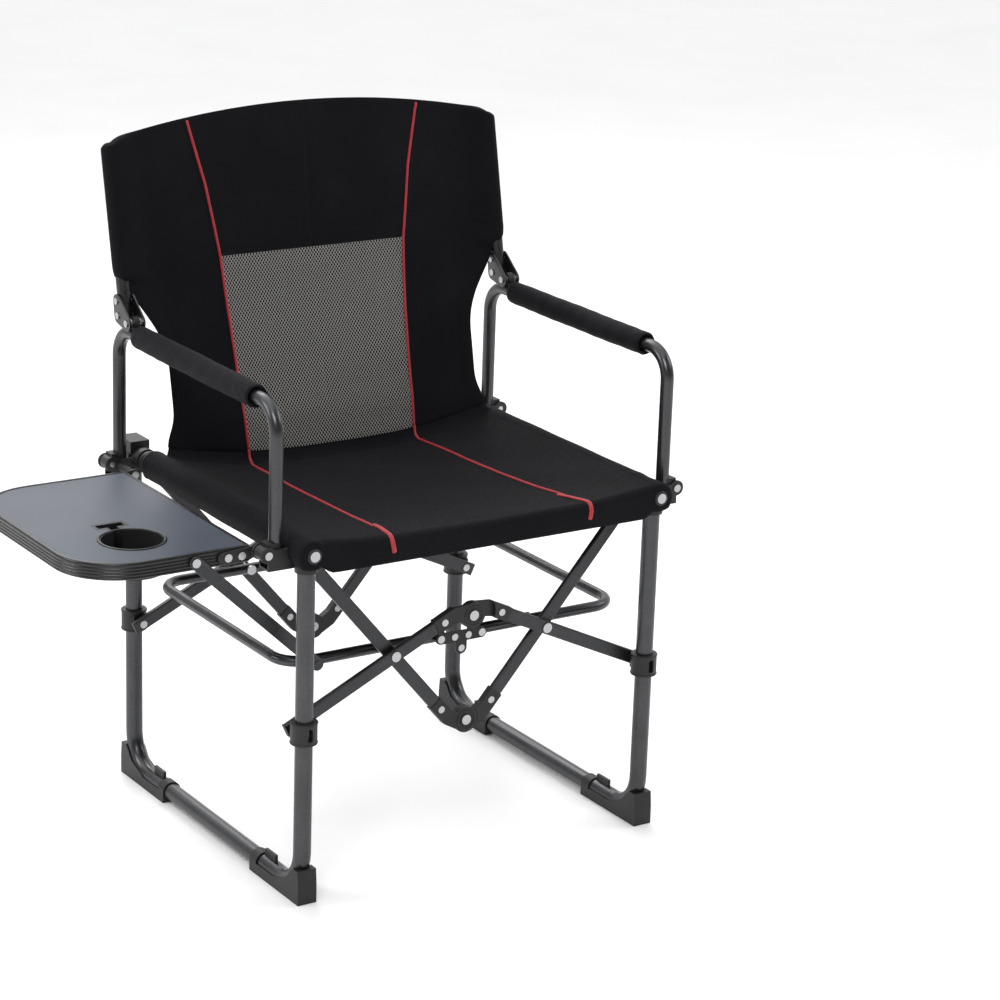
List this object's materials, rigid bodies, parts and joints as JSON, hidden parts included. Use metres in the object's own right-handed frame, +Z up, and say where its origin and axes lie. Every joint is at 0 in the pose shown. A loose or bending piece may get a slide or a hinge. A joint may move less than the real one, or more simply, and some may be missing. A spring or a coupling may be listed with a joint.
{
  "type": "folding camp chair",
  "caption": "Folding director's camp chair: tube side frames on a double scissor, cloth seat and back, padded arms, drop-down side table with cup holder.",
  "frame": {"origin": "on the ground under the middle of the open chair's bounding box, table included", "axes": "+Z up; the sitter faces -Y; the side table is at -X"},
  "size_m": [0.8224, 0.4946, 0.8886],
  "materials": {
    "frame_steel": "satin, hammered dark grey powder coat",
    "black_plastic": "moulded, fine texture",
    "zinc_rivet": "bright zinc",
    "link_steel": "satin dark grey powder coat",
    "pad_fabric": "black woven cloth over foam",
    "seat_fabric": "black woven polyester",
    "webbing": "woven webbing",
    "mesh_fabric": "open honeycomb mesh",
    "red_piping": "corded red trim",
    "table_top": "board in a satin slate grey foil",
    "table_edge": "grooved black edge"
  },
  "bodies": {
    "left_frame": {"left_leg_frame": "frame_steel", "left_feet": "black_plastic", "left_seat_rail": "frame_steel", "left_corner_brackets": "frame_steel", "left_arm_hinges": "black_plastic", "left_rail_plugs": "black_plastic", "left_frame_rivets": "zinc_rivet"},
    "right_frame": {"right_leg_frame": "frame_steel", "right_feet": "black_plastic", "right_seat_rail": "frame_steel", "right_corner_brackets": "frame_steel", "right_arm_hinges": "black_plastic", "right_rail_plugs": "black_plastic", "right_frame_rivets": "zinc_rivet"},
    "left_drop_link": {"left_drop_links": "link_steel", "left_drop_knuckles": "black_plastic", "left_drop_rivets": "zinc_rivet"},
    "right_drop_link": {"right_drop_links": "link_steel", "right_drop_knuckles": "black_plastic", "right_drop_rivets": "zinc_rivet"},
    "left_rise_link": {"left_rise_links": "link_steel", "left_rise_knuckles": "black_plastic", "left_rise_rivets": "zinc_rivet"},
    "right_rise_link": {"right_rise_links": "link_steel", "right_rise_knuckles": "black_plastic", "right_rise_rivets": "zinc_rivet"},
    "left_collar_pair": {"left_collars": "black_plastic"},
    "right_collar_pair": {"right_collars": "black_plastic"},
    "left_loop_body": {"left_loop": "frame_steel", "left_loop_plugs": "black_plastic"},
    "right_loop_body": {"right_loop": "frame_steel", "right_loop_plugs": "black_plastic"},
    "tie_body": {"tie_plates": "black_plastic", "tie_rivets": "zinc_rivet"},
    "left_arm": {"left_arm_tube": "frame_steel", "left_arm_pad": "pad_fabric", "left_arm_knuckles": "black_plastic", "left_arm_tongue": "frame_steel"},
    "right_arm": {"right_arm_tube": "frame_steel", "right_arm_pad": "pad_fabric", "right_arm_knuckles": "black_plastic", "right_arm_tongue": "frame_steel"},
    "left_back": {"left_back_tube": "frame_steel", "left_back_plates": "frame_steel", "left_back_rivets": "zinc_rivet"},
    "right_back": {"right_back_tube": "frame_steel", "right_back_plates": "frame_steel", "right_back_rivets": "zinc_rivet"},
    "table": {"table_board": "table_top", "table_rim": "table_edge", "cup_holder": "black_plastic", "table_hinge_plates": "black_plastic", "table_rivets": "zinc_rivet"},
    "brace": {"table_brace": "link_steel"},
    "seat": {"seat_cloth": "seat_fabric"},
    "back_middle": {"back_cloth_middle": "seat_fabric", "carry_handle": "webbing"},
    "left_wing": {"back_cloth_left": "seat_fabric"},
    "right_wing": {"back_cloth_right": "seat_fabric"}
  },
  "joints": [
    {"name": "fold", "type": "hinge", "parent": "left_frame", "child": "left_drop_link", "pos_m": [-0.14425, 0.00125, 0.447], "axis": [0, 1, 0], "range_deg": [0, 36.4]},
    {"name": "lower_hub", "type": "hinge", "parent": "left_drop_link", "child": "right_drop_link", "pos_m": [0.10575, 0.00125, 0.17867], "axis": [0, 1, 0], "range_deg": [-72.81, 0]},
    {"name": "right_rail_pivot", "type": "hinge", "parent": "right_drop_link", "child": "right_frame", "pos_m": [0.35575, 0.00125, 0.447], "axis": [0, 1, 0], "range_deg": [0, 36.41]},
    {"name": "left_cross", "type": "hinge", "parent": "left_drop_link", "child": "left_rise_link", "pos_m": [-0.00525, 0.00125, 0.285], "axis": [0, 1, 0], "range_deg": [-95.45, 0]},
    {"name": "right_cross", "type": "hinge", "parent": "right_drop_link", "child": "right_rise_link", "pos_m": [0.21675, 0.00125, 0.285], "axis": [0, 1, 0], "range_deg": [0, 95.45]},
    {"name": "left_collar_slide", "type": "slide", "parent": "left_frame", "child": "left_collar_pair", "axis": [0, 0, -1], "range_m": [0, 0.13852]},
    {"name": "right_collar_slide", "type": "slide", "parent": "right_frame", "child": "right_collar_pair", "axis": [0, 0, -1], "range_m": [0, 0.13852]},
    {"name": "left_loop_pivot", "type": "hinge", "parent": "left_drop_link", "child": "left_loop_body", "pos_m": [-0.00525, 0.00125, 0.285], "axis": [0, 1, 0], "range_deg": [-129.06, 0]},
    {"name": "right_loop_pivot", "type": "hinge", "parent": "right_drop_link", "child": "right_loop_body", "pos_m": [0.21675, 0.00125, 0.285], "axis": [0, 1, 0], "range_deg": [0, 129.06]},
    {"name": "tie_pivot", "type": "hinge", "parent": "left_loop_body", "child": "tie_body", "pos_m": [0.07575, 0.00125, 0.285], "axis": [0, 1, 0], "range_deg": [0, 92.67]},
    {"name": "left_arm_swing", "type": "hinge", "parent": "left_frame", "child": "left_arm", "pos_m": [-0.18975, 0.00125, 0.446], "axis": [0, 1, 0], "range_deg": [-180.01, 0]},
    {"name": "right_arm_swing", "type": "hinge", "parent": "right_frame", "child": "right_arm", "pos_m": [0.40125, 0.00125, 0.446], "axis": [0, 1, 0], "range_deg": [0, 180.01]},
    {"name": "left_back_fold", "type": "hinge", "parent": "left_arm", "child": "left_back", "pos_m": [-0.17425, 0.16425, 0.638], "axis": [1, 0, 0], "range_deg": [0, 103.91]},
    {"name": "right_back_fold", "type": "hinge", "parent": "right_arm", "child": "right_back", "pos_m": [0.38575, 0.16425, 0.638], "axis": [1, 0, 0], "range_deg": [0, 103.91]},
    {"name": "table_drop", "type": "hinge", "parent": "left_frame", "child": "table", "pos_m": [-0.18025, 0.00125, 0.443], "axis": [0, 1, 0], "range_deg": [-90.01, 0]},
    {"name": "brace_swing", "type": "hinge", "parent": "table", "child": "brace", "pos_m": [-0.26825, 0.00125, 0.44], "axis": [0, 1, 0], "range_deg": [0, 123.17]},
    {"name": "seat_gather", "type": "slide", "parent": "left_frame", "child": "seat", "axis": [-1, 0, 0], "range_m": [0, 0.20801], "deforming": ["seat_cloth"]},
    {"name": "back_cloth_fold", "type": "hinge", "parent": "seat", "child": "back_middle", "pos_m": [0.10575, 0.14947, 0.464], "axis": [1, 0, 0], "range_deg": [0, 100.51], "deforming": ["back_cloth_middle", "carry_handle"]},
    {"name": "left_wing_fold", "type": "hinge", "parent": "back_middle", "child": "left_wing", "pos_m": [0.0436, 0.14947, 0.464], "axis": [0, 0.2113, 0.9774], "range_deg": [0, 80.01], "deforming": ["back_cloth_left"]},
    {"name": "right_wing_fold", "type": "hinge", "parent": "back_middle", "child": "right_wing", "pos_m": [0.1679, 0.14947, 0.464], "axis": [0, 0.2113, 0.9774], "range_deg": [-80.01, 0], "deforming": ["back_cloth_right"]}
  ],
  "couplings": [
    {"joint": "lower_hub", "follows": "fold", "ratio": -2},
    {"joint": "right_rail_pivot", "follows": "fold", "ratio": 1},
    {"joint": "left_cross", "follows": "fold", "ratio": -2.6222},
    {"joint": "right_cross", "follows": "fold", "ratio": 2.6222},
    {"joint": "left_collar_slide", "follows": "fold", "m_per_rad": 0.21804},
    {"joint": "right_collar_slide", "follows": "fold", "m_per_rad": 0.21804},
    {"joint": "left_loop_pivot", "follows": "fold", "ratio": -3.5456},
    {"joint": "right_loop_pivot", "follows": "fold", "ratio": 3.5456},
    {"joint": "tie_pivot", "follows": "fold", "ratio": 2.5456},
    {"joint": "left_arm_swing", "follows": "fold", "ratio": -4.9453},
    {"joint": "right_arm_swing", "follows": "fold", "ratio": 4.9453},
    {"joint": "left_back_fold", "follows": "fold", "ratio": 2.8545},
    {"joint": "right_back_fold", "follows": "fold", "ratio": 2.8545},
    {"joint": "table_drop", "follows": "fold", "ratio": -2.4726},
    {"joint": "brace_swing", "follows": "fold", "ratio": 3.3837},
    {"joint": "seat_gather", "follows": "fold", "m_per_rad": 0.32742},
    {"joint": "back_cloth_fold", "follows": "fold", "ratio": 2.7611},
    {"joint": "left_wing_fold", "follows": "fold", "ratio": 2.1979},
    {"joint": "right_wing_fold", "follows": "fold", "ratio": -2.1979}
  ]
}
